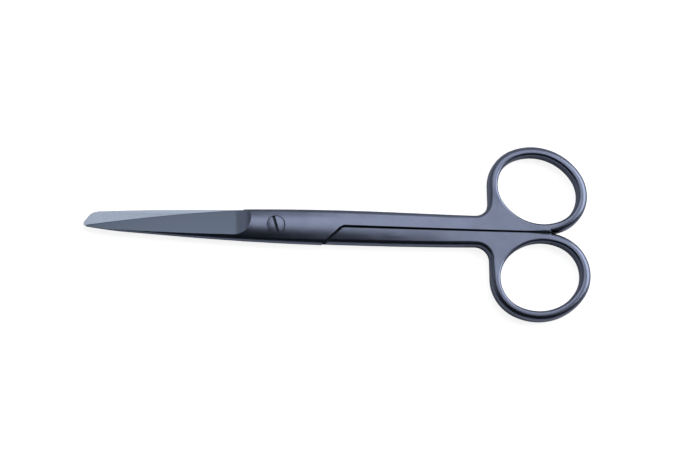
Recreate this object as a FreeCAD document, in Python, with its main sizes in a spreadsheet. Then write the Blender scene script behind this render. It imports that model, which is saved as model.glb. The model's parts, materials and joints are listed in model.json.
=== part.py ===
"""Straight operating scissors with one sharp and one blunt blade, 145 mm long, closed.

The pair is two forged halves and a slotted pivot screw. Both halves come from one recipe: a
domed bar that runs from the nose to the shank, a flat web and a finger ring, cut at the middle
plane so that each half passes the other in the joint. Only the noses and the screw's seats
differ. +X points to the rings, +Z is the screw's side, and the origin lies on the pivot axis
in the plane of the flat on the joint's back.
"""
import FreeCAD, Part
import math
import os
import re
import Sketcher
from FreeCAD import Placement, Rotation, Vector

# Driving sizes, in mm and degrees. Along means from the pivot towards the rings.
SIZES = (
    # The domed bar at five stations: place, half width, half height, edge rounding, flat side.
    # The blunt blade is the wider one.
    ("nose_along", -56.0), ("sharp_nose_width", 2.0), ("blunt_nose_width", 2.45),
    ("nose_height", 1.45), ("nose_edge", 0.75), ("nose_side", 0.15),
    ("blade_along", -32.0), ("sharp_blade_width", 3.46), ("blunt_blade_width", 3.86),
    ("blade_height", 2.1), ("blade_edge", 1.15), ("blade_side", 0.2),
    ("sharp_pivot_width", 4.92), ("blunt_pivot_width", 4.68), ("pivot_height", 2.45),
    ("pivot_edge", 1.6), ("pivot_side", 0.3),
    ("shank_along", 28.0), ("sharp_shank_width", 5.14), ("blunt_shank_width", 4.88),
    ("shank_height", 2.26), ("shank_edge", 1.6),
    ("shank_side", 0.3),
    ("web_stub", 0.7), ("sharp_web_width", 4.66), ("blunt_web_width", 4.42), ("web_crown", 0.01),
    # The finger ring: centre, opening, turn of the long axis, and the wire around it. The rings
    # would lap by stop_lap at the middle line, and are ground flat where they meet.
    ("ring_along", 76.4), ("stop_lap", 0.25), ("opening_long", 24.06),
    ("opening_short", 20.24), ("opening_end", 9.0), ("ring_turn", 17.6),
    ("wire_width", 2.85), ("wire_height", 4.0), ("wire_edge", 1.3), ("wire_inner_edge", 0.8),
    ("crotch_radius", 4.0), ("wall_inset", 0.02),
    # The walls where the halves part: gaps, and the shoulders that clear each other.
    ("shank_gap", 0.52), ("stop_gap", 0.06), ("wall_break", 0.2),
    ("shoulder_along", 18.9), ("shoulder_slope", 44.0), ("shoulder_gap", 0.3),
    ("shoulder_round", 1.0),
    # The cutting edges and the ground flats behind them.
    ("sharp_tip_along", -52.9), ("sharp_edge_across", -1.05), ("sharp_spine_across", -1.6),
    ("sharp_taper_along", -38.0), ("sharp_taper_across", -3.2), ("sharp_taper_curve", 190.0),
    ("blunt_tip_along", -52.8), ("blunt_edge_across", 1.42), ("blunt_nose_along", -53.5),
    ("blunt_nose_across", 0.1), ("blunt_nose_round", 0.83), ("blunt_slope_along", -52.2),
    ("blunt_slope_across", -1.67), ("blunt_back_along", -49.9), ("blunt_back_across", -2.79),
    ("blunt_back_round", 3.0),
    ("heel_along", -7.0), ("heel_across", 4.75), ("sharp_edge_curve", 520.0),
    ("blunt_edge_curve", 2000.0), ("edge_land", 0.3), ("edge_steep", 50.0),
    ("edge_blunt", 0.04), ("flat_slope", 12.0), ("wheel_radius", 10.0), ("wheel_along", -12.2),
    ("hollow_depth", 0.12), ("hollow_margin", 0.5), ("hollow_start", -10.0),
    ("hollow_deep", -15.0), ("hollow_end", -49.0), ("hollow_tip", 0.01),
    # The pivot screw and its seats.
    ("back_flat", 0.1), ("head_radius", 2.55), ("head_seat", 1.25), ("head_rise", 0.28),
    ("head_sink", 0.04), ("head_clear", 0.06), ("head_play", 0.02), ("shoulder_radius", 1.8),
    ("running_clear", 0.03), ("thread_radius", 1.5), ("thread_clear", 0.02),
    ("stem_break", 0.2), ("slot_width", 0.8), ("slot_depth", 0.8), ("slot_turn", 15.3),
)
# How far the cutting outlines reach past the steel.
PAST = "(2 * sharp_shank_width)"
FAR = "(ring_along + opening_long)"
BEFORE_NOSE = f"(nose_along - {PAST})"
# A match in mm when edges are picked by place, and the least volume that a cut takes away.
NEAR = 1e-3
LEAST_CUT = 0.1

doc = FreeCAD.newDocument("operating_scissors")
sheet = doc.addObject("Spreadsheet::Sheet", "Sizes")
for row, (word, number) in enumerate(SIZES, start=1):
    sheet.set(f"A{row}", word)
    sheet.set(f"B{row}", str(number))
    sheet.setAlias(f"B{row}", word)
doc.recompute()


def spelled(formula):
    """Write a formula of plain words with the sheet's name before each size."""
    return re.sub(r"\b[a-z]+_[a-z_]+\b", lambda word: "Sizes." + word.group(), str(formula))


def value(formula):
    """Work a formula out from the sheet, as a number."""
    return float(sheet.evalExpression(spelled(formula).replace("Sizes.", "")))


def new_sketch(body, name, role, base=("0", "0", "0"), spin_axis=(0, 0, 1), spin="0"):
    """Attach a sketch to one of the body's own planes, moved and turned by formulas."""
    sketch = body.newObject("Sketcher::SketchObject", name)
    plane = next(item for item in body.Origin.OriginFeatures if item.Role == role)
    sketch.AttachmentSupport = (plane, "")
    sketch.MapMode = "FlatFace"
    place = Vector(*(value(formula) for formula in base))
    sketch.AttachmentOffset = Placement(place, Rotation(Vector(*spin_axis), value(spin)))
    for letter, formula in zip("xyz", base):
        if formula != "0":
            sketch.setExpression(f".AttachmentOffset.Base.{letter}", spelled(formula))
    if spin != "0":
        sketch.setExpression(".AttachmentOffset.Rotation.Angle", spelled(spin))
    return sketch


def arc_between(start, end, radius):
    """The short arc from start to end that turns left, or right for a negative radius."""
    if radius < 0:
        start, end = end, start
    chord = end - start
    left = Vector(-chord.y, chord.x, 0).normalize()
    reach = math.sqrt(max(radius ** 2 - (chord.Length / 2) ** 2, 0))
    centre = (start + end) * 0.5 + left * reach
    first = math.atan2(start.y - centre.y, start.x - centre.x)
    last = math.atan2(end.y - centre.y, end.x - centre.x)
    return Part.ArcOfCircle(Part.Circle(centre, Vector(0, 0, 1), abs(radius)), first, last)


def hold(sketch, kind, formula, *where):
    """Add a dimension and bind it to the sheet."""
    index = sketch.addConstraint(Sketcher.Constraint(kind, *where, value(formula)))
    sketch.setExpression(f"Constraints[{index}]", spelled(formula))


def draw(sketch, corners, closed=True):
    """Draw an outline through corners of the form (across, up, radius of the bend after it).

    A bend of None is a straight side. Each corner is held by its two coordinates.
    """
    spots = [Vector(value(across), value(up), 0) for across, up, bend in corners]
    starts = []
    ends = []
    for index, (across, up, bend) in enumerate(corners if closed else corners[:-1]):
        start = spots[index]
        end = spots[(index + 1) % len(spots)]
        if bend is None:
            side = sketch.addGeometry(Part.LineSegment(start, end))
        else:
            side = sketch.addGeometry(arc_between(start, end, value(bend)))
            hold(sketch, "Radius", f"abs({bend})", side)
        turns_right = bend is not None and value(bend) < 0
        starts.append((side, 2 if turns_right else 1))
        ends.append((side, 1 if turns_right else 2))
    if not closed:
        starts.append(ends[-1])
    for index, (across, up, bend) in enumerate(corners):
        if closed:
            joint = (*ends[index - 1], *starts[index])
            sketch.addConstraint(Sketcher.Constraint("Coincident", *joint))
        hold(sketch, "DistanceX", across, *starts[index])
        hold(sketch, "DistanceY", up, *starts[index])


def circle(body, name, radius, height="0"):
    """A circle about the pivot axis."""
    sketch = new_sketch(body, name, "XY_Plane", ("0", "0", height))
    sketch.addGeometry(Part.Circle(Vector(), Vector(0, 0, 1), value(radius)))
    sketch.addConstraint(Sketcher.Constraint("Coincident", 0, 3, -1, 1))
    hold(sketch, "Radius", radius, 0)
    return sketch


def settle(body, name):
    """Recompute and stop at a feature that failed."""
    doc.recompute()
    for item in doc.Objects:
        if "Invalid" in item.State or "Error" in item.State:
            raise RuntimeError(f"{body.Label}: {name} failed at {item.Name}")


def settle_cut(body, name, before):
    """Recompute and stop where a cut failed or took nothing away."""
    settle(body, name)
    if body.Shape.Volume > before - LEAST_CUT:
        raise RuntimeError(f"{body.Label}: {name} cuts nothing")


def cut(body, name, sketch, upwards):
    """Pocket to one side of the sketch's plane, all the way."""
    before = body.Shape.Volume
    pocket = body.newObject("PartDesign::Pocket", name)
    pocket.Profile = sketch
    pocket.Reversed = upwards
    pocket.Type = "ThroughAll"
    settle_cut(body, name, before)


def edges_where(shape, wanted):
    """Names of the edges for which the test holds."""
    return [f"Edge{number}" for number, edge in enumerate(shape.Edges, 1) if wanted(edge)]


def middle(edge):
    """The point half way along an edge."""
    return edge.valueAt((edge.FirstParameter + edge.LastParameter) / 2)


def dress(body, kind, name, wanted, size, formula):
    """Round or bevel the edges of the body's tip for which the test holds."""
    base = body.Tip
    feature = body.newObject(f"PartDesign::{kind}", name)
    feature.Base = (base, edges_where(base.Shape, wanted))
    setattr(feature, size, value(formula))
    feature.setExpression(size, spelled(formula))
    settle(body, name)
    return feature


END_CENTRE = "(opening_long / 2 - opening_end)"
HALF_SHORT = "(opening_short / 2)"
SIDE_BEND = (f"(({END_CENTRE} ^ 2 + {HALF_SHORT} ^ 2 - opening_end ^ 2)"
             f" / (2 * ({HALF_SHORT} - opening_end)))")
SIDE_CENTRE = f"({SIDE_BEND} - {HALF_SHORT})"
RING_ACROSS = f"({SIDE_BEND} + wire_width - {SIDE_CENTRE} * cos(ring_turn) - stop_lap)"
RING_REACH = f"({END_CENTRE} * cos(ring_turn) + opening_end + wire_width)"
RING_WALL = f"(ring_along - {RING_REACH} + wall_inset)"
RING_SIDE = f"({RING_ACROSS} + {END_CENTRE} * sin(ring_turn))"
WEB_START = f"({RING_WALL} - crotch_radius - web_stub)"
# The web ends where the two ground walls end and the rings curve apart.
WEB_END = (f"(ring_along + {SIDE_CENTRE} * sin(ring_turn)"
           f" + sqrt(2 * ({SIDE_BEND} + wire_width) * stop_lap))")


def oval(outset):
    """The finger opening's outline in its own axes, moved outwards by a formula.

    Four arcs that meet smoothly: a small one at each end and a large one along each side.
    """
    span = f"({SIDE_BEND} - opening_end)"
    end_bend = f"(opening_end + {outset})"
    side_bend = f"({SIDE_BEND} + {outset})"
    across = f"({END_CENTRE} + {end_bend} * {END_CENTRE} / {span})"
    up = f"({end_bend} * {SIDE_CENTRE} / {span})"
    return (
        (f"opening_long / 2 + {outset}", "0", end_bend),
        (across, up, side_bend),
        (f"0 - {across}", up, end_bend),
        (f"0 - {across}", f"0 - {up}", side_bend),
        (across, f"0 - {up}", end_bend),
    )


def rounded_block(half_width, half_height, edge, back_edge):
    """A rectangle about the origin, with one rounding in front and another at the back."""
    front, back = (f"({half_width} - {bend})" for bend in (edge, back_edge))
    front_side, back_side = (f"({half_height} - {bend})" for bend in (edge, back_edge))
    return (
        (half_width, f"0 - {front_side}", None), (half_width, front_side, edge),
        (front, half_height, None), (f"0 - {back}", half_height, back_edge),
        (f"0 - ({half_width})", back_side, None),
        (f"0 - ({half_width})", f"0 - {back_side}", back_edge),
        (f"0 - {back}", f"0 - ({half_height})", None), (front, f"0 - ({half_height})", edge),
    )


def dome(width, height, edge, side):
    """The bar's section: a wide arc over and under, four edge arcs and two short flat sides.

    The crown's radius follows from the arcs meeting smoothly, and so do the joins.
    """
    inset = f"({width} - {edge})"
    rise = f"({height} - {side})"
    crown = f"(({inset} ^ 2 + {rise} ^ 2 - ({edge}) ^ 2) / (2 * ({rise} - {edge})))"
    grow = f"({crown} / ({crown} - {edge}))"
    across = f"({inset} * {grow})"
    up = f"({height} - {crown} + ({crown} - {rise}) * {grow})"
    return (
        (width, f"0 - ({side})", None), (width, side, edge),
        (across, up, crown), (f"0 - {across}", up, edge),
        (f"0 - {width}", side, None), (f"0 - {width}", f"0 - ({side})", edge),
        (f"0 - {across}", f"0 - {up}", crown), (across, f"0 - {up}", edge),
    )


def stations(nose):
    """The bar's sections: place along, half width, half height, edge rounding, flat side."""
    return (
        ("nose_along", f"{nose}_nose_width", "nose_height", "nose_edge", "nose_side"),
        ("blade_along", f"{nose}_blade_width", "blade_height", "blade_edge", "blade_side"),
        ("0", f"{nose}_pivot_width", "pivot_height", "pivot_edge", "pivot_side"),
        ("shank_along", f"{nose}_shank_width", "shank_height", "shank_edge", "shank_side"),
        (WEB_START, f"{nose}_web_width", "(wire_height / 2 + web_crown)", "wire_edge",
         "(wire_height / 2 - wire_edge)"),
    )


WALL_SLOPE = "((stop_gap - shank_gap) / 2 / (ring_along - shoulder_along))"


def wall_at(along):
    """How far the parting wall stands from the middle line, at a place along the shank."""
    return f"(shank_gap / 2 + {WALL_SLOPE} * ({along} - shoulder_along))"


def add_ring(body, nose):
    """The web and the finger ring, with the crotch between ring and shank."""
    outline = new_sketch(body, "web_outline", "XY_Plane")
    web_side = f"{nose}_web_width"
    crotch_top = f"({web_side} + crotch_radius)"
    draw(outline, (
        (WEB_START, "0 - wire_width", None), (WEB_END, "0 - wire_width", None),
        (WEB_END, RING_SIDE, None), (RING_WALL, RING_SIDE, None),
        (RING_WALL, crotch_top, "0 - crotch_radius"),
        (f"{RING_WALL} - crotch_radius", web_side, None), (WEB_START, web_side, None),
    ))
    web = body.newObject("PartDesign::Pad", "web")
    web.Profile = outline
    web.Midplane = True
    web.setExpression("Length", spelled("wire_height"))
    settle(body, "web")
    wall = value(RING_WALL)
    end = value(WEB_END)
    shank_side = value(web_side)
    level = value("wire_height / 2")

    def faces_out(edge):
        spot = middle(edge)
        outer = spot.x < wall + NEAR and spot.y > shank_side - NEAR
        return (outer or spot.x > end - NEAR) and abs(abs(spot.z) - level) < NEAR

    dress(body, "Fillet", "web_rounding", faces_out, "Radius", "wire_edge")
    centre = ("ring_along", RING_ACROSS, "0")
    crest = new_sketch(body, "ring_crest", "XY_Plane", centre, spin="0 - ring_turn")
    draw(crest, oval("wire_width / 2"))
    hollow = body.newObject("PartDesign::Pocket", "ring_hollow")
    hollow.Profile = crest
    hollow.Type = "ThroughAll"
    hollow.Midplane = True
    path = new_sketch(body, "ring_path", "XY_Plane", centre, spin="0 - ring_turn")
    draw(path, oval("wire_width / 2"))
    start = "(opening_long / 2 + wire_width / 2)"
    seat = (f"ring_along + {start} * cos(ring_turn)", "0",
            f"{start} * sin(ring_turn) - {RING_ACROSS}")
    section = new_sketch(body, "wire_section", "XZ_Plane", seat, (0, 1, 0), "0 - ring_turn")
    draw(section, rounded_block("wire_width / 2", "wire_height / 2", "wire_edge",
                                "wire_inner_edge"))
    ring = body.newObject("PartDesign::AdditivePipe", "ring")
    ring.Profile = section
    ring.Spine = (path, [f"Edge{number}" for number in range(1, 6)])
    settle(body, "ring")


def add_bar(body, nose):
    """The domed bar, one smooth loft through the five stations."""
    sections = []
    for number, (along, width, height, edge, side) in enumerate(stations(nose), 1):
        sketch = new_sketch(body, f"section_{number}", "YZ_Plane", ("0", "0", along))
        draw(sketch, dome(width, height, edge, side))
        sections.append(sketch)
    bar = body.newObject("PartDesign::AdditiveLoft", "bar")
    bar.Profile = sections[0]
    bar.Sections = sections[1:]
    settle(body, "bar")


def part_halves(body):
    """Cut away what belongs to the other half, above and below the middle plane."""
    run = "(tan(shoulder_slope))"
    clear = "(shoulder_gap / 2 / sin(shoulder_slope))"
    trim = "(shoulder_round * tan(shoulder_slope / 2))"
    for name, side, upwards in (("joint_shoulder", -1, True), ("shank_shoulder", 1, False)):
        corner = f"(shoulder_along + {side} * {clear})"
        wall = wall_at(corner)
        foot = f"({corner} - {trim} * cos(shoulder_slope))"
        foot_across = f"({wall} + {side} * {trim} * sin(shoulder_slope))"
        end = f"({corner} - {PAST} / {run})"
        end_across = f"({wall} + {side} * {PAST})"
        outline = [
            (end, end_across, None), (foot, foot_across, f"0 - {side} * shoulder_round"),
            (f"({corner} + {trim})", wall_at(f"({corner} + {trim})"), None),
            (FAR, wall_at(FAR), None), (FAR, f"0 - {PAST}", None),
        ]
        if side > 0:
            outline += [(BEFORE_NOSE, f"0 - {PAST}", None), (BEFORE_NOSE, end_across, None)]
        else:
            outline[-1] = (FAR, end_across, None)
        sketch = new_sketch(body, f"{name}_outline", "XY_Plane")
        draw(sketch, outline)
        cut(body, name, sketch, upwards)
    first = value("shoulder_along + 2 * shoulder_round")
    last = value("ring_along")
    high = value("wire_height / 2 - web_crown")

    def on_wall(edge):
        spot = middle(edge)
        between = first < spot.x < last and abs(spot.z) > high
        return between and abs(spot.y - value(wall_at(spot.x))) < NEAR

    dress(body, "Fillet", "wall_rounding", on_wall, "Radius", "wall_break")


def blade_outline(nose):
    """The waste around a blade in plan, from the heel round the nose to the spine."""
    if nose == "sharp":
        tip = [
            ("sharp_tip_along", "sharp_edge_across", "(sharp_edge_across - sharp_spine_across)"),
            ("sharp_tip_along", "sharp_spine_across", "sharp_taper_curve"),
            ("sharp_taper_along", "sharp_taper_across", None),
            ("sharp_taper_along", f"0 - {PAST}", None),
        ]
    else:
        tip = [
            ("blunt_tip_along", "blunt_edge_across", "blunt_nose_round"),
            ("blunt_nose_along", "blunt_nose_across", None),
            ("blunt_slope_along", "blunt_slope_across", "blunt_back_round"),
            ("blunt_back_along", "blunt_back_across", None),
            ("blunt_back_along", f"0 - {PAST}", None),
        ]
    return [("heel_along", "heel_across", f"{nose}_edge_curve")] + tip + [
        (BEFORE_NOSE, f"0 - {PAST}", None), (BEFORE_NOSE, PAST, None),
        ("heel_along", PAST, None),
    ]


def grind(body, nose):
    """The ground flat on the blade's outer face, with the wheel's run-out at its heel.

    The cutter runs across the blade, tilted so that the flat falls to the cutting edge, and
    its line along the blade keeps the edge equally thick at the tip and at the heel.
    """
    def level(across):
        return f"(edge_land * cos(flat_slope) + {across} * sin(flat_slope))"

    tip = level(f"{nose}_edge_across")
    heel = level("heel_across")
    fall = f"(({heel} - {tip}) / (heel_along - {nose}_tip_along))"
    start = f"({tip} + {fall} * ({BEFORE_NOSE} - {nose}_tip_along))"
    run_out = f"({tip} + {fall} * (wheel_along - {nose}_tip_along))"
    sketch = new_sketch(body, "grind_line", "XZ_Plane", spin_axis=(1, 0, 0),
                        spin="0 - flat_slope")
    draw(sketch, (
        (BEFORE_NOSE, start, None), ("wheel_along", run_out, "wheel_radius"),
        ("wheel_along + wheel_radius", f"{run_out} + wheel_radius", None),
        ("wheel_along + wheel_radius", PAST, None), (BEFORE_NOSE, PAST, None),
    ))
    before = body.Shape.Volume
    pocket = body.newObject("PartDesign::Pocket", "outer_flat")
    pocket.Profile = sketch
    pocket.Midplane = True
    pocket.setExpression("Length", spelled(f"4 * {PAST}"))
    settle_cut(body, "outer_flat", before)


def sharpen(body, nose):
    """The steep narrow bevel that makes the cutting edge, swept along the edge's curve."""
    run = f"(heel_along - {nose}_tip_along)"
    fall = f"((heel_across - {nose}_edge_across) / {run} + {run} / 2 / {nose}_edge_curve)"
    over = "(2 * edge_land)"
    path = new_sketch(body, "edge_path", "XY_Plane")
    draw(path, (
        ("heel_along", "heel_across", f"{nose}_edge_curve"),
        (f"{nose}_tip_along - {over}", f"{nose}_edge_across - {fall} * {over}", None),
    ), closed=False)
    section = new_sketch(body, "bevel_section", "YZ_Plane", ("0", "0", "heel_along"))
    outer = "(heel_across + edge_land)"
    inner = f"(heel_across - {over})"
    low = "(edge_blunt - edge_land * tan(edge_steep))"
    high = f"(edge_blunt + {over} * tan(edge_steep))"
    draw(section, ((outer, low, None), (outer, high, None), (inner, high, None)))
    before = body.Shape.Volume
    bevel = body.newObject("PartDesign::SubtractivePipe", "cutting_bevel")
    bevel.Profile = section
    bevel.Spine = (path, ["Edge1"])
    settle_cut(body, "cutting_bevel", before)


def hollow_inside(body, nose):
    """The shallow hollow in the inner face, so that the blades meet only at their edges."""
    edge_fall = f"((heel_across - {nose}_edge_across) / (heel_along - {nose}_tip_along))"
    spine = {"sharp": "sharp_spine_across", "blunt": "blunt_back_across"}[nose]
    spine_fall = f"(({nose}_pivot_width + {spine}) / (0 - {nose}_tip_along))"
    sections = []
    for number, (along, depth) in enumerate((
            ("hollow_start", "hollow_tip"), ("hollow_deep", "hollow_depth"),
            ("hollow_end", "hollow_tip")), 1):
        top = f"({nose}_edge_across + {edge_fall} * ({along} - {nose}_tip_along) - hollow_margin)"
        low = f"({spine} - {spine_fall} * ({along} - {nose}_tip_along) + hollow_margin)"
        chord = f"(({top} - {low}) / 2)"
        bend = f"(({chord} ^ 2 + {depth} ^ 2) / (2 * {depth}))"
        sketch = new_sketch(body, f"hollow_{number}", "YZ_Plane", ("0", "0", along))
        draw(sketch, (
            (low, "0", None), (low, "0 - hollow_depth", None), (top, "0 - hollow_depth", None),
            (top, "0", bend),
        ))
        sections.append(sketch)
    before = body.Shape.Volume
    hollow = body.newObject("PartDesign::SubtractiveLoft", "inner_hollow")
    hollow.Profile = sections[0]
    hollow.Sections = sections[1:]
    hollow.Ruled = True
    settle_cut(body, "inner_hollow", before)


def make_half(label, nose):
    """One half, drawn with its inner face on the middle plane and its joint above it."""
    body = doc.addObject("PartDesign::Body", label)
    body.Label = label
    add_ring(body, nose)
    add_bar(body, nose)
    part_halves(body)
    outline = new_sketch(body, "blade_plan", "XY_Plane")
    draw(outline, blade_outline(nose))
    cut(body, "blade_sides", outline, True)
    grind(body, nose)
    sharpen(body, nose)
    hollow_inside(body, nose)
    return body


def make_front_half():
    """The half on the screw's side: sharp blade, running hole and seat for the head."""
    body = make_half("front_half", "sharp")
    hole = circle(body, "running_circle", "shoulder_radius + running_clear")
    cut(body, "running_hole", hole, True)
    seat = circle(body, "seat_circle", "head_radius + head_clear", "pivot_height - head_seat")
    cut(body, "head_seat", seat, True)
    return body


def make_rear_half():
    """The half under it: blunt blade, the screw's threaded hole and the flat on the back."""
    body = make_half("rear_half", "blunt")
    hole = circle(body, "thread_circle", "thread_radius + thread_clear")
    cut(body, "thread_hole", hole, True)
    land = new_sketch(body, "back_land", "XY_Plane", ("0", "0", "pivot_height - back_flat"))
    draw(land, (
        ("0 - shank_along", "0 - blunt_pivot_width", None),
        ("shank_along", "0 - blunt_pivot_width", None),
        ("shank_along", "blunt_pivot_width", None), ("0 - shank_along", "blunt_pivot_width", None),
    ))
    cut(body, "back_flat", land, True)
    return body


def make_screw():
    """The pivot screw: slotted lens head, bearing shoulder and threaded stem."""
    body = doc.addObject("PartDesign::Body", "pivot_screw")
    body.Label = "pivot_screw"
    crown = "(pivot_height - head_sink)"
    rim = f"({crown} - head_rise)"
    under = "(pivot_height - head_seat + head_play)"
    foot = "(back_flat - pivot_height)"
    lens = "((head_radius ^ 2 + head_rise ^ 2) / (2 * head_rise))"
    profile = new_sketch(body, "screw_profile", "XZ_Plane")
    draw(profile, (
        ("0", foot, None), ("thread_radius - stem_break", foot, None),
        ("thread_radius", f"{foot} + stem_break", None), ("thread_radius", "0", None),
        ("shoulder_radius", "0", None), ("shoulder_radius", under, None),
        ("head_radius", under, None), ("head_radius", rim, lens), ("0", crown, None),
    ))
    turned = body.newObject("PartDesign::Revolution", "turned")
    turned.Profile = profile
    turned.ReferenceAxis = (profile, ["V_Axis"])
    turned.Angle = 360
    settle(body, "turned")
    slot = new_sketch(body, "slot_outline", "XY_Plane", ("0", "0", f"{crown} - slot_depth"),
                      spin="slot_turn")
    draw(slot, (
        ("0 - slot_width / 2", "0 - head_radius - slot_width", None),
        ("slot_width / 2", "0 - head_radius - slot_width", None),
        ("slot_width / 2", "head_radius + slot_width", None),
        ("0 - slot_width / 2", "head_radius + slot_width", None),
    ))
    cut(body, "slot", slot, True)
    return body


def place(body, turn):
    """Lift a piece so that the flat on the back lies at height nought, turned about +X."""
    body.Placement = Placement(Vector(0, 0, 0), Rotation(Vector(1, 0, 0), turn))
    body.setExpression(".Placement.Base.z", spelled("pivot_height - back_flat"))


front_half = make_front_half()
rear_half = make_rear_half()
pivot_screw = make_screw()
place(front_half, 0)
place(rear_half, 180)
place(pivot_screw, 0)
settle(front_half, "assembly")

os.makedirs("parts", exist_ok=True)
pieces = (front_half, rear_half, pivot_screw)
for piece in pieces:
    shape = piece.Shape
    if shape.isNull() or not shape.isValid() or len(shape.Solids) != 1:
        raise RuntimeError(f"{piece.Label} is not one valid solid")
for piece in pieces:
    piece.Shape.exportStep(f"parts/{piece.Label}.step")
    print(f"{piece.Label}: {piece.Shape.Volume:.1f} cubic mm, {len(piece.Shape.Faces)} faces")
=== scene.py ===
"""The looks of a pair of straight operating scissors: steel finishes, floor, lights and camera."""
import json
import math
from functools import partial

import bpy
from mathutils import Color, Matrix, Vector

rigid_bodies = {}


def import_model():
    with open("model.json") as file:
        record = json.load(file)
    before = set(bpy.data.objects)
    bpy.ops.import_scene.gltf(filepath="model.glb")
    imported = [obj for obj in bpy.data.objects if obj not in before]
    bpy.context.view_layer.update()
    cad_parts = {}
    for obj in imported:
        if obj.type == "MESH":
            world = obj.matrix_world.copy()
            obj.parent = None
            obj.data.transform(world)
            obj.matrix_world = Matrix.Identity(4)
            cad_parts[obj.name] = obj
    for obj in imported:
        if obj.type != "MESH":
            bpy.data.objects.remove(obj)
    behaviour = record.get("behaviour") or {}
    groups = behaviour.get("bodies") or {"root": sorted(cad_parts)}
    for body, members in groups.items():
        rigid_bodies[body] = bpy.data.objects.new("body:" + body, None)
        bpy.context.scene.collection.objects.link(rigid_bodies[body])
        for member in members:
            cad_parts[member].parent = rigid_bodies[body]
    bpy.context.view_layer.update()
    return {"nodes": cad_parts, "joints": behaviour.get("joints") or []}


bl_info = {
    "name": "Operating Scissors",
    "version": (1, 0, 0),
    "blender": (4, 5, 0),
    "location": "3D View > Sidebar > Scissors",
    "description": "Finishes, floor, lights and camera for a pair of operating scissors",
    "category": "Object",
}

for leftover in list(bpy.data.objects):
    bpy.data.objects.remove(leftover)
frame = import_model()

MM = 0.001
# Height of the plane where the two blades meet.
MIDDLE = frame["joints"][0]["pos_m"][2]

# A blade's outer flat: its slope to the cutting edge, the edge's two ends as along and across,
# and the land left along the edge.
FLAT_SLOPE = math.radians(12.0)
SHARP_TIP = Vector((-52.9, -1.05)) * MM
BLUNT_TIP = Vector((-52.8, 1.42)) * MM
HEEL = Vector((-7.0, 4.75)) * MM
EDGE_LAND = 0.3 * MM
# The place where the grinding wheel starts to leave the flat, the radius of its arc, and the
# stretch past that place over which the flat's tone fades.
WHEEL_ALONG = -12.2 * MM
WHEEL_RADIUS = 10.0 * MM
ARC_FADE = (1.2 * MM, 3.2 * MM)
# What lies this near to the flat's plane or to its arc belongs to the flat.
FLAT_REACH = 0.04 * MM
# The inner face: how deep it is hollowed, how near to the middle of that depth it all lies, and
# where it ends by the joint.
HOLLOW_DEPTH = 0.12 * MM
HOLLOW_REACH = 0.6 * HOLLOW_DEPTH
BLADE_END = HEEL.x + 1.0 * MM

# A finger ring: its centre, its oval opening, the radius of the opening's ends, the turn of the
# long axis, the wire's width and the wire's middle radius on the average.
RING_CENTRE = Vector((76.4, 12.89)) * MM
OPENING = Vector((24.06, 20.24)) * MM
OPENING_END = 9.0 * MM
RING_TURN = math.radians(17.6)
WIRE_WIDTH = 2.85 * MM
RING_RADIUS = 12.5 * MM
# The stretch over which the shank's finish gives way to the ring's.
RING_START = (60.0 * MM, 66.0 * MM)
# The polished crown of the wire: how far inside the wire's middle it runs, its half width and
# its height.
CROWN_INSET = 0.4 * MM
CROWN_REACH = 2.2 * MM
CROWN_HEIGHT = 0.26 * MM
# The web's direction from the ring's centre. The crown is whole where the cosine of the angle
# from it is under the first number, and gone where it is over the second.
WEB_TURN = math.radians(-115.0)
CROWN_FADE = (0.35, 0.8)

# Where the shanks part and painted shade darkens them: the shoulder's place, slope and gap, and
# where the rings touch.
SHOULDER_ALONG = 18.9 * MM
SHOULDER_SLOPE = math.radians(44.0)
SHOULDER_GAP = 0.3 * MM
RINGS_TOUCH = 77.7 * MM
# Half the gap between the shanks, the length of its last stretch before the rings touch, and how
# far each side opens there for each unit of length.
GAP_HALF = 0.26 * MM
GAP_LAST = 5.0 * MM
GAP_WIDENS = 0.05
# What parts a half's upper and lower face lies this far from the middle plane, so that its own
# floor in the gap, which is at that plane, belongs to one of them.
FLOOR_SHIFT = 0.05 * MM
# Half the notch where the rings touch, along and across, which painted shade darkens.
NOTCH = Vector((0.7, 0.5)) * MM

# The screw's head, and the middle and half the width of the painted shade line on the seam around
# it.
HEAD_RADIUS = 2.55 * MM
SEAM_RADIUS = HEAD_RADIUS + 0.03 * MM
SEAM_HALF = 0.05 * MM
# Half the slot's width, how much of it is wholly dark with painted shade, so that the tone has
# mostly faded at the slot's walls, and the slot's turn from the line across.
SLOT_HALF = 0.4 * MM
SLOT_DARK = 0.7 * SLOT_HALF
SLOT_TURN = math.radians(15.3)

# How far the handled edges are worn round.
EDGE_BREAK = 0.12 * MM
# The size of the clouds in the satin, and the length of the belt's and the wheel's lines.
CLOUD_SIZE = 6.0 * MM
BELT_LENGTH = 14.0 * MM
STROKE_LENGTH = 8.0 * MM
# The lathe's rings on the screw's head are this far apart.
LATHE_STEP = 0.2 * MM
# The depth of the finest relief, how much of it shows on the halves and on the screw, how deep
# the wheel's lines are beside the dimples, and how far the relief spreads the roughness.
GRAIN_DEPTH = 0.008 * MM
SATIN_RELIEF = 0.3
TURNED_RELIEF = 0.4
STROKE_SHARE = 0.4
ROUGH_SPREAD = 0.12
# How much of the finer specks each noise has.
SPECK_ROUGHNESS = 0.6
# A mask fades out at this many times its reach.
MASK_FADE = 1.6

# The table's radius, and its own glow, which with the lamps' light comes to white.
TABLE_RADIUS = 3.0
TABLE_GLOW = 0.86
# The middle of the scissors' length, which the lamps face.
LAMP_AIM = Vector((0.019, 0, 0))
# The camera's tilt from straight above, to the near side, to the tips' side and about its own
# axis, and how far it stands from the pivot to its own right and up.
CAMERA_TILT = math.radians(15.35)
CAMERA_LEAN = math.radians(-7.73)
CAMERA_ROLL = math.radians(1.6)
CAMERA_SEAT = Vector((0.0212, -0.002004))


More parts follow.
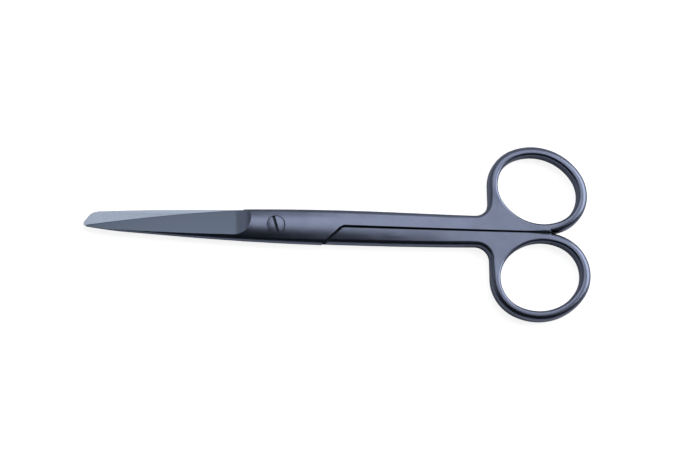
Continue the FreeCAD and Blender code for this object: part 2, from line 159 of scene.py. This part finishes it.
def linear(code):
    """Turn an sRGB hex colour into the linear colour that a shader takes."""
    channels = [int(code[start:start + 2], 16) / 255 for start in (1, 3, 5)]
    return tuple(c / 12.92 if c <= 0.04045 else ((c + 0.055) / 1.055) ** 2.4 for c in channels)


def colour(code, name, description):
    """A colour property with a hex default."""
    return bpy.props.FloatVectorProperty(name=name, description=description, subtype="COLOR",
                                         size=3, min=0, max=1, default=linear(code))


class SteelSettings(bpy.types.PropertyGroup):
    """Colours and grain of the steel finishes."""
    satin: colour("#8f98b2", "Satin steel", "Domed joint, shanks and rings")
    satin_deep: colour("#7a829a", "Satin steel, deeper", "Faint clouds in the satin finish")
    outer: colour("#748094", "Outer flat", "Ground flat on the outside of a blade")
    inner: colour("#a8b4c6", "Inner face", "Fine-ground face between the blades")
    screw: colour("#8f98b2", "Screw", "Turned head of the pivot screw")
    # Painted shade: the dark put into the slot, the seam round the screw and the gap between the
    # halves.
    painted_shade: colour("#2c313a", "Painted shade", "Dark in the slot, seam and parting line")
    satin_rough: bpy.props.FloatProperty(
        name="Satin roughness", description="How soft the satin steel's reflections are",
        default=0.3, min=0, max=1, subtype="FACTOR")
    ground_rough: bpy.props.FloatProperty(
        name="Ground roughness", description="How soft the ground faces' reflections are",
        default=0.22, min=0, max=1, subtype="FACTOR")
    grain: bpy.props.FloatProperty(
        name="Blast grain", description="Distance between the dimples of the satin finish",
        default=0.22 * MM, min=0.05 * MM, max=2 * MM, precision=5, unit="LENGTH")
    stroke: bpy.props.FloatProperty(
        name="Grinding stroke", description="Distance between the lines of the ground faces",
        default=0.3 * MM, min=0.05 * MM, max=2 * MM, precision=5, unit="LENGTH")
    belt: bpy.props.FloatProperty(
        name="Belt line", description="Distance between the polishing belt's lines",
        default=0.35 * MM, min=0.05 * MM, max=2 * MM, precision=5, unit="LENGTH")


class StageSettings(bpy.types.PropertyGroup):
    """Floor, lamps and camera."""
    floor: colour("#f4f5f6", "Floor", "Pale table top")
    surround: colour("#111418", "Surroundings", "Dim room around the table")
    key: bpy.props.FloatProperty(
        name="Soft box", description="Power of the large soft box over the table",
        default=0.74, min=0, unit="POWER")
    fill: bpy.props.FloatProperty(
        name="Fill lamp", description="Power of the dimmer wide lamp behind the soft box",
        default=1.1, min=0, unit="POWER")
    side: bpy.props.FloatProperty(
        name="Side lamp", description="Power of the lamp beyond the rings",
        default=2.6, min=0, unit="POWER")
    left: bpy.props.FloatProperty(
        name="Left lamp", description="Power of the weak lamp beyond the tips",
        default=0.35, min=0, unit="POWER")
    glint: bpy.props.FloatProperty(
        name="Table in the steel", description="How much of the white table the steel shows",
        default=0.04, min=0, max=1, subtype="FACTOR")
    distance: bpy.props.FloatProperty(
        name="Camera distance", description="From the pivot plane to the lens",
        default=0.5, min=0.1, max=5, unit="LENGTH")
    lens: bpy.props.FloatProperty(
        name="Focal length", description="Lens in millimetres on a 36 mm wide sensor",
        default=90.8, min=10, max=400, subtype="DISTANCE_CAMERA")


def add_node(tree, kind, *sources, named=(), **settings):
    """Add a shader node with its settings, and set or link its inputs.

    The sources fill the inputs in order, and named ones go by an input's name or number. Each
    is a value, a colour, a socket, or a node that gives its first output.
    """
    node = tree.nodes.new(f"ShaderNode{kind}")
    for name, setting in settings.items():
        setattr(node, name, setting)
    for key, source in (*enumerate(sources), *dict(named).items()):
        if isinstance(source, bpy.types.Node):
            source = source.outputs[0]
        if isinstance(source, bpy.types.NodeSocket):
            tree.links.new(source, node.inputs[key])
        elif isinstance(source, Color):
            node.inputs[key].default_value = (*source, 1)
        else:
            node.inputs[key].default_value = source
    return node


def new_material(name):
    """An empty material, and what adds a node to it."""
    material = bpy.data.materials.new(name)
    material.use_nodes = True
    material.node_tree.nodes.clear()
    return material, partial(add_node, material.node_tree)


def near(add, value, reach):
    """A mask: one where a length is within reach of nought, fading to nought just outside."""
    off = add("Math", value, operation="ABSOLUTE")
    return add("MapRange", off, reach, reach * MASK_FADE, 1.0, 0.0)


def speckle(add, place, size, detail=3.0):
    """Soft random specks that are as long and wide as size says, in metres."""
    scaled = add("Mapping", place, named={"Scale": tuple(1 / length for length in size)})
    return add("TexNoise", scaled, named={
        "Scale": 1.0, "Detail": detail, "Roughness": SPECK_ROUGHNESS})


def ground_masks(add, place, tip, mirror):
    """Where a blade's outer flat and its inner face are, from the planes they were ground to."""
    along, across, up = add("SeparateXYZ", place).outputs
    slope_cos, slope_sin = math.cos(FLAT_SLOPE), math.sin(FLAT_SLOPE)

    def level(spot):
        return EDGE_LAND * slope_cos + spot * slope_sin

    rise = (level(HEEL.y) - level(tip.y)) / (HEEL.x - tip.x)
    normal = Vector((-rise, mirror * slope_sin, mirror * slope_cos))
    rest = level(tip.y) - rise * tip.x + mirror * MIDDLE * slope_cos
    over_plane = add("VectorMath", place, normal, operation="DOT_PRODUCT").outputs["Value"]
    # Past the wheel's place the face levels out and then climbs in the wheel's arc.
    past = add("Math", along, WHEEL_ALONG, operation="SUBTRACT")
    past = add("Math", past, 0.0, operation="MAXIMUM")
    depth = add("Math", past, past, operation="MULTIPLY")
    depth = add("Math", WHEEL_RADIUS ** 2, depth, operation="SUBTRACT")
    depth = add("Math", depth, operation="SQRT")
    climb = add("Math", WHEEL_RADIUS + rest, depth, operation="SUBTRACT")
    levelled = add("Math", past, rise, operation="MULTIPLY")
    climb = add("Math", climb, levelled, operation="SUBTRACT")
    over_flat = add("Math", over_plane, climb, operation="SUBTRACT")
    kept = add("MapRange", past, *ARC_FADE, 1.0, 0.0)
    outer = add("Math", near(add, over_flat, FLAT_REACH), kept, operation="MULTIPLY")
    over_middle = add("Math", up, MIDDLE + mirror * HOLLOW_DEPTH / 2, operation="SUBTRACT")
    on_blade = add("Math", along, BLADE_END, operation="LESS_THAN")
    inner = add("Math", near(add, over_middle, HOLLOW_REACH), on_blade, operation="MULTIPLY")
    return outer, inner


def parting_shade_mask(add, along, across, up, mirror):
    """Where painted shade darkens the gap between the halves, from the shoulder to the rings'
    touch.
    """
    # The gap between the shanks looks wider where the rings part.
    widening = add("Math", along, RINGS_TOUCH - GAP_LAST, operation="SUBTRACT")
    widening = add("Math", 0.0, widening, operation="MAXIMUM")
    widening = add("Math", GAP_WIDENS, widening, operation="MULTIPLY")
    off_middle = add("Math", across, operation="ABSOLUTE")
    off_gap = add("Math", off_middle, widening, operation="SUBTRACT")
    off_gap = add("Math", 0.0, off_gap, operation="MAXIMUM")
    past_shoulder = add("Math", along, SHOULDER_ALONG, operation="GREATER_THAN")
    gap = add("Math", near(add, off_gap, GAP_HALF), past_shoulder, operation="MULTIPLY")
    # The shoulder slopes away on the side of each face where the other half shows. Each half's
    # own floor in the gap belongs to the face it is seen from.
    level = add("Math", up, MIDDLE + mirror * FLOOR_SHIFT, operation="SUBTRACT")
    side = add("Math", level, operation="SIGN")
    shown = add("Math", across, side, operation="MULTIPLY")
    run = add("Math", along, SHOULDER_ALONG, operation="SUBTRACT")
    run = add("Math", run, math.sin(SHOULDER_SLOPE), operation="MULTIPLY")
    drop = add("Math", shown, math.cos(SHOULDER_SLOPE), operation="MULTIPLY")
    off_shoulder = add("Math", run, drop, operation="SUBTRACT")
    below = add("Math", shown, 0.0, operation="LESS_THAN")
    shoulder = add("Math", near(add, off_shoulder, SHOULDER_GAP), below, operation="MULTIPLY")
    # The web's rolled end lies in the notch where the rings touch, and painted shade darkens it
    # there.
    to_touch = add("Math", along, RINGS_TOUCH, operation="SUBTRACT")
    notch = add("Math", near(add, to_touch, NOTCH.x), near(add, across, NOTCH.y),
                operation="MULTIPLY")
    dark = add("Math", gap, shoulder, operation="MAXIMUM")
    return add("Math", dark, notch, operation="MAXIMUM")


def off_axis(add, place):
    """The distance from the pivot's axis."""
    flat_place = add("VectorMath", place, (1, 1, 0), operation="MULTIPLY")
    return add("VectorMath", flat_place, operation="LENGTH").outputs["Value"]


def seam_shade_mask(add, radius):
    """Painted shade on the fine seam around the screw's head."""
    return near(add, add("Math", radius, SEAM_RADIUS, operation="SUBTRACT"), SEAM_HALF)


def wire_crown(add, ring_along, ring_across, turn):
    """The height of the soft crown that the polishing belt leaves on a ring's wire."""
    end_centre = OPENING.x / 2 - OPENING_END
    side_bend = ((end_centre ** 2 + (OPENING.y / 2) ** 2 - OPENING_END ** 2)
                 / (OPENING.y - 2 * OPENING_END))
    side_centre = side_bend - OPENING.y / 2
    turn_cos, turn_sin = math.cos(RING_TURN), math.sin(RING_TURN)

    def turned(first, second):
        part = add("Math", ring_across, second, operation="MULTIPLY")
        whole = add("Math", ring_along, first, part, operation="MULTIPLY_ADD")
        return add("Math", whole, operation="ABSOLUTE")

    def off_arc(out, up, bend):
        square = add("Math", up, up, operation="MULTIPLY")
        square = add("Math", out, out, square, operation="MULTIPLY_ADD")
        reach = add("Math", square, operation="SQRT")
        return add("Math", reach, bend + WIRE_WIDTH / 2 - CROWN_INSET, operation="SUBTRACT")

    # The oval has two ends and two flatter sides, and each is an arc.
    long_way = turned(turn_cos, -turn_sin)
    short_way = turned(turn_sin, turn_cos)
    from_side = add("Math", short_way, side_centre, operation="ADD")
    from_end = add("Math", long_way, end_centre, operation="SUBTRACT")
    off_side = off_arc(long_way, from_side, side_bend)
    off_end = off_arc(from_end, short_way, OPENING_END)
    border = add("Math", long_way, side_centre / end_centre, operation="MULTIPLY")
    at_side = add("Math", border, from_side, operation="LESS_THAN")
    off_crown = add("Mix", at_side, named={2: off_end, 3: off_side}, data_type="FLOAT")
    off_crown = add("Math", off_crown, operation="ABSOLUTE")
    off_crown = add("Math", off_crown, CROWN_REACH, operation="MINIMUM")
    wave = add("Math", off_crown, math.pi / CROWN_REACH, operation="MULTIPLY")
    wave = add("Math", wave, operation="COSINE")
    crown = add("Math", wave, CROWN_HEIGHT / 2, CROWN_HEIGHT / 2, operation="MULTIPLY_ADD")
    to_web = add("Math", turn, WEB_TURN, operation="SUBTRACT")
    to_web = add("Math", to_web, operation="COSINE")
    clear = add("MapRange", to_web, *CROWN_FADE, 1.0, 0.0, interpolation_type="SMOOTHSTEP")
    return add("Math", crown, clear, operation="MULTIPLY")


def steel_half(name, tip, mirror):
    """Satin forged stainless steel with ground blades.

    The forging is glass-bead blasted and lightly belted, which gives soft bluish reflections
    with a very fine grain. The blade's outer flat is wheel-ground across its length, and its
    inner face is ground finer, so it is paler and sharper. Painted shade darkens the parting line
    between the shanks and the seam around the screw.
    """
    look = bpy.context.scene.scissors_steel
    material, add = new_material(name)
    place = add("TexCoord").outputs["Object"]
    along, across, up = add("SeparateXYZ", place).outputs
    outer, inner = ground_masks(add, place, tip, mirror)
    ground = add("Math", outer, inner, operation="MAXIMUM")

    # The blasting and handling differ a little from place to place.
    clouds = speckle(add, place, (CLOUD_SIZE, CLOUD_SIZE, CLOUD_SIZE))
    satin = add("Mix", clouds, named={6: look.satin_deep, 7: look.satin},
                data_type="RGBA").outputs[2]
    satin_or_flat = add("Mix", outer, named={6: satin, 7: look.outer},
                        data_type="RGBA").outputs[2]
    unshaded_base = add("Mix", inner, named={6: satin_or_flat, 7: look.inner},
                data_type="RGBA").outputs[2]
    # Painted shade darkens the parting line between the halves and the seam round the screw.
    dark = add("Math", parting_shade_mask(add, along, across, up, mirror),
               seam_shade_mask(add, off_axis(add, place)), operation="MAXIMUM")
    base = add("Mix", dark, named={6: unshaded_base, 7: look.painted_shade}, data_type="RGBA").outputs[2]

    # Bead dimples are about 0.05 mm apart, and are drawn at four times that so that they show.
    blast = speckle(add, place, (look.grain, look.grain, look.grain), 2.0)
    # The polishing belt ran along the shanks and across the wire of the rings.
    belt = speckle(add, place, (BELT_LENGTH, look.belt, look.belt))
    ring_along = add("Math", along, RING_CENTRE.x, operation="SUBTRACT")
    ring_across = add("Math", across, mirror, -RING_CENTRE.y, operation="MULTIPLY_ADD")
    turn = add("Math", ring_across, ring_along, operation="ARCTAN2")
    round_ring = add("Math", turn, RING_RADIUS / look.belt, operation="MULTIPLY")
    around = add("TexNoise", noise_dimensions="1D", named={
        "W": round_ring, "Scale": 1.0, "Detail": 3.0, "Roughness": SPECK_ROUGHNESS})
    on_ring = add("MapRange", along, *RING_START)
    lines = add("Mix", on_ring, named={2: belt, 3: around}, data_type="FLOAT")
    lines = add("Math", lines, 0.5, operation="MULTIPLY")
    satin_grain = add("Math", blast, 0.5, lines, operation="MULTIPLY_ADD")
    # The wheel's lines run across the blade, shallower than the dimples and at their mean level.
    strokes = speckle(add, place, (look.stroke, STROKE_LENGTH, STROKE_LENGTH))
    strokes = add("Math", strokes, STROKE_SHARE, (1 - STROKE_SHARE) / 2,
                  operation="MULTIPLY_ADD")
    grain = add("Mix", ground, named={2: satin_grain, 3: strokes}, data_type="FLOAT")

    worn = add("Bevel", EDGE_BREAK, samples=4)
    crown = add("Bump", named={
        "Strength": 1.0, "Distance": 1.0, "Normal": worn,
        "Height": wire_crown(add, ring_along, ring_across, turn)})
    relief = add("Bump", named={
        "Strength": SATIN_RELIEF, "Distance": GRAIN_DEPTH, "Normal": crown, "Height": grain})
    rough = add("Mix", ground, named={2: look.satin_rough, 3: look.ground_rough},
                data_type="FLOAT")
    spread = add("Math", grain, ROUGH_SPREAD, -ROUGH_SPREAD / 3, operation="MULTIPLY_ADD")
    rough = add("Math", rough, spread, operation="ADD")
    shader = add("BsdfPrincipled", named={
        "Base Color": base, "Metallic": 1.0, "Roughness": rough, "Normal": relief})
    add("OutputMaterial", shader)
    return material


def steel_screw():
    """Turned stainless steel: fine rings round the head's middle, with painted shade in the milled
    slot.
    """
    look = bpy.context.scene.scissors_steel
    material, add = new_material("turned_stainless_steel")
    place = add("TexCoord").outputs["Object"]
    radius = off_axis(add, place)
    steps = add("Math", radius, LATHE_STEP, operation="DIVIDE")
    rings = add("TexNoise", named={"W": steps, "Scale": 1.0, "Detail": 2.0},
                noise_dimensions="1D")
    blast = speckle(add, place, (look.grain, look.grain, look.grain), 2.0)
    blast = add("Math", blast, 0.5, operation="MULTIPLY")
    grain = add("Math", rings, 0.5, blast, operation="MULTIPLY_ADD")
    relief = add("Bump", named={
        "Strength": TURNED_RELIEF, "Distance": GRAIN_DEPTH, "Height": grain})
    rough = add("Math", grain, ROUGH_SPREAD, look.satin_rough - ROUGH_SPREAD / 2,
                operation="MULTIPLY_ADD")
    # Painted shade darkens the milled slot and the seam round the head.
    across_slot = Vector((math.cos(SLOT_TURN), math.sin(SLOT_TURN), 0))
    from_slot = add("VectorMath", place, across_slot, operation="DOT_PRODUCT").outputs["Value"]
    slot = near(add, from_slot, SLOT_DARK)
    dark = add("Math", slot, seam_shade_mask(add, radius), operation="MAXIMUM")
    unshaded_base = add("Mix", rings, named={6: look.satin_deep, 7: look.screw},
                data_type="RGBA").outputs[2]
    base = add("Mix", dark, named={6: unshaded_base, 7: look.painted_shade}, data_type="RGBA").outputs[2]
    shader = add("BsdfPrincipled", named={
        "Base Color": base, "Metallic": 1.0, "Roughness": rough, "Normal": relief})
    add("OutputMaterial", shader)
    return material


def table_top():
    """Pale matt laminate, evenly white to the eye and still taking the object's shadow."""
    look = bpy.context.scene.scissors_stage
    material, add = new_material("pale_matt_table")
    paths = add("LightPath").outputs
    in_steel = add("Math", paths["Is Glossy Ray"], look.glint, operation="MULTIPLY")
    seen = add("Math", paths["Is Camera Ray"], in_steel, operation="MAXIMUM")
    seen = add("Math", seen, paths["Is Transmission Ray"], operation="MAXIMUM")
    matt = add("BsdfDiffuse", look.floor)
    glow = add("Emission", (1, 1, 1, 1), TABLE_GLOW)
    both = add("AddShader", matt, glow)
    add("OutputMaterial", add("MixShader", seen, matt, both))
    return material


class SCISSORS_OT_halves(bpy.types.Operator):
    """Finish the two halves in satin and ground stainless steel"""
    bl_idname = "scissors.halves"
    bl_label = "Finish the halves"

    def execute(self, context):
        halves = (("front_half", SHARP_TIP, 1), ("rear_half", BLUNT_TIP, -1))
        for node, tip, mirror in halves:
            piece = frame["nodes"][node]
            steel = steel_half(f"satin_forged_steel_{node}", tip, mirror)
            piece.material_slots[0].material = steel
        return {"FINISHED"}


class SCISSORS_OT_screw(bpy.types.Operator):
    """Finish the pivot screw in turned stainless steel"""
    bl_idname = "scissors.screw"
    bl_label = "Finish the screw"

    def execute(self, context):
        frame["nodes"]["pivot_screw"].material_slots[0].material = steel_screw()
        return {"FINISHED"}


def soft_box(name, direction, distance, size, power):
    """A rectangular lamp that faces the middle of the scissors."""
    data = bpy.data.lights.new(name, "AREA")
    data.shape = "RECTANGLE"
    data.size, data.size_y = size
    data.energy = power
    lamp = bpy.data.objects.new(name, data)
    bpy.context.scene.collection.objects.link(lamp)
    way = Vector(direction).normalized()
    lamp.matrix_world = Matrix.Translation(LAMP_AIM + way * distance) @ (
        way.to_track_quat("Z", "Y").to_matrix().to_4x4())


class SCISSORS_OT_stage(bpy.types.Operator):
    """Set the pale floor, the soft lamps and the camera"""
    bl_idname = "scissors.stage"
    bl_label = "Set the stage"

    def execute(self, context):
        look = context.scene.scissors_stage
        bpy.ops.object.select_all(action="DESELECT")
        bpy.ops.mesh.primitive_circle_add(vertices=96, radius=TABLE_RADIUS, fill_type="NGON",
                                          location=(0, 0, 0))
        floor = context.active_object
        floor.name = "table_top"
        floor.data.materials.append(table_top())

        world = bpy.data.worlds.new("dim_studio")
        context.scene.world = world
        world.use_nodes = True
        world.node_tree.nodes["Background"].inputs["Color"].default_value = (*look.surround, 1)
        world.node_tree.nodes["Background"].inputs["Strength"].default_value = 1.0

        # Each lamp has its direction from the scissors, and its distance and size in metres.
        soft_box("soft_box", (0.1, 0.36, 0.93), 0.8, (0.5, 0.42), look.key)
        soft_box("fill_lamp", (0.0, 0.79, 0.62), 0.8, (1.3, 0.75), look.fill)
        soft_box("side_lamp", (0.83, 0.3, 0.47), 0.7, (0.6, 0.62), look.side)
        soft_box("left_lamp", (-0.85, 0.2, 0.48), 0.8, (0.7, 0.7), look.left)

        camera = bpy.data.objects.new("camera", bpy.data.cameras.new("camera"))
        context.scene.collection.objects.link(camera)
        camera.data.lens = look.lens
        camera.data.sensor_width = 36
        camera.data.clip_start = 0.01
        turn = (Matrix.Rotation(CAMERA_TILT, 4, "X") @ Matrix.Rotation(CAMERA_LEAN, 4, "Y")
                @ Matrix.Rotation(CAMERA_ROLL, 4, "Z"))
        seat = turn @ Vector((*CAMERA_SEAT, look.distance)) + Vector((0, 0, MIDDLE))
        camera.matrix_world = Matrix.Translation(seat) @ turn
        context.scene.camera = camera
        context.scene.view_settings.view_transform = "Standard"
        return {"FINISHED"}


class SCISSORS_PT_panel(bpy.types.Panel):
    """Buttons for the scissors' finishes and stage"""
    bl_idname = "SCISSORS_PT_panel"
    bl_label = "Operating Scissors"
    bl_space_type = "VIEW_3D"
    bl_region_type = "UI"
    bl_category = "Scissors"

    def draw(self, context):
        for settings in (context.scene.scissors_steel, context.scene.scissors_stage):
            for name in settings.bl_rna.properties.keys():
                if name not in ("rna_type", "name"):
                    self.layout.prop(settings, name)
        for operator in OPERATORS:
            self.layout.operator(operator.bl_idname)


OPERATORS = (SCISSORS_OT_halves, SCISSORS_OT_screw, SCISSORS_OT_stage)
CLASSES = (SteelSettings, StageSettings, *OPERATORS, SCISSORS_PT_panel)


def register():
    """Add the classes, and the scene's settings of finish and stage."""
    for item in CLASSES:
        bpy.utils.register_class(item)
    bpy.types.Scene.scissors_steel = bpy.props.PointerProperty(type=SteelSettings)
    bpy.types.Scene.scissors_stage = bpy.props.PointerProperty(type=StageSettings)


def unregister():
    """Take the settings and the classes away again."""
    del bpy.types.Scene.scissors_steel
    del bpy.types.Scene.scissors_stage
    for item in reversed(CLASSES):
        bpy.utils.unregister_class(item)


def main():
    """Register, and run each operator."""
    register()
    bpy.ops.scissors.halves()
    bpy.ops.scissors.screw()
    bpy.ops.scissors.stage()


if __name__ == "__main__":
    main()
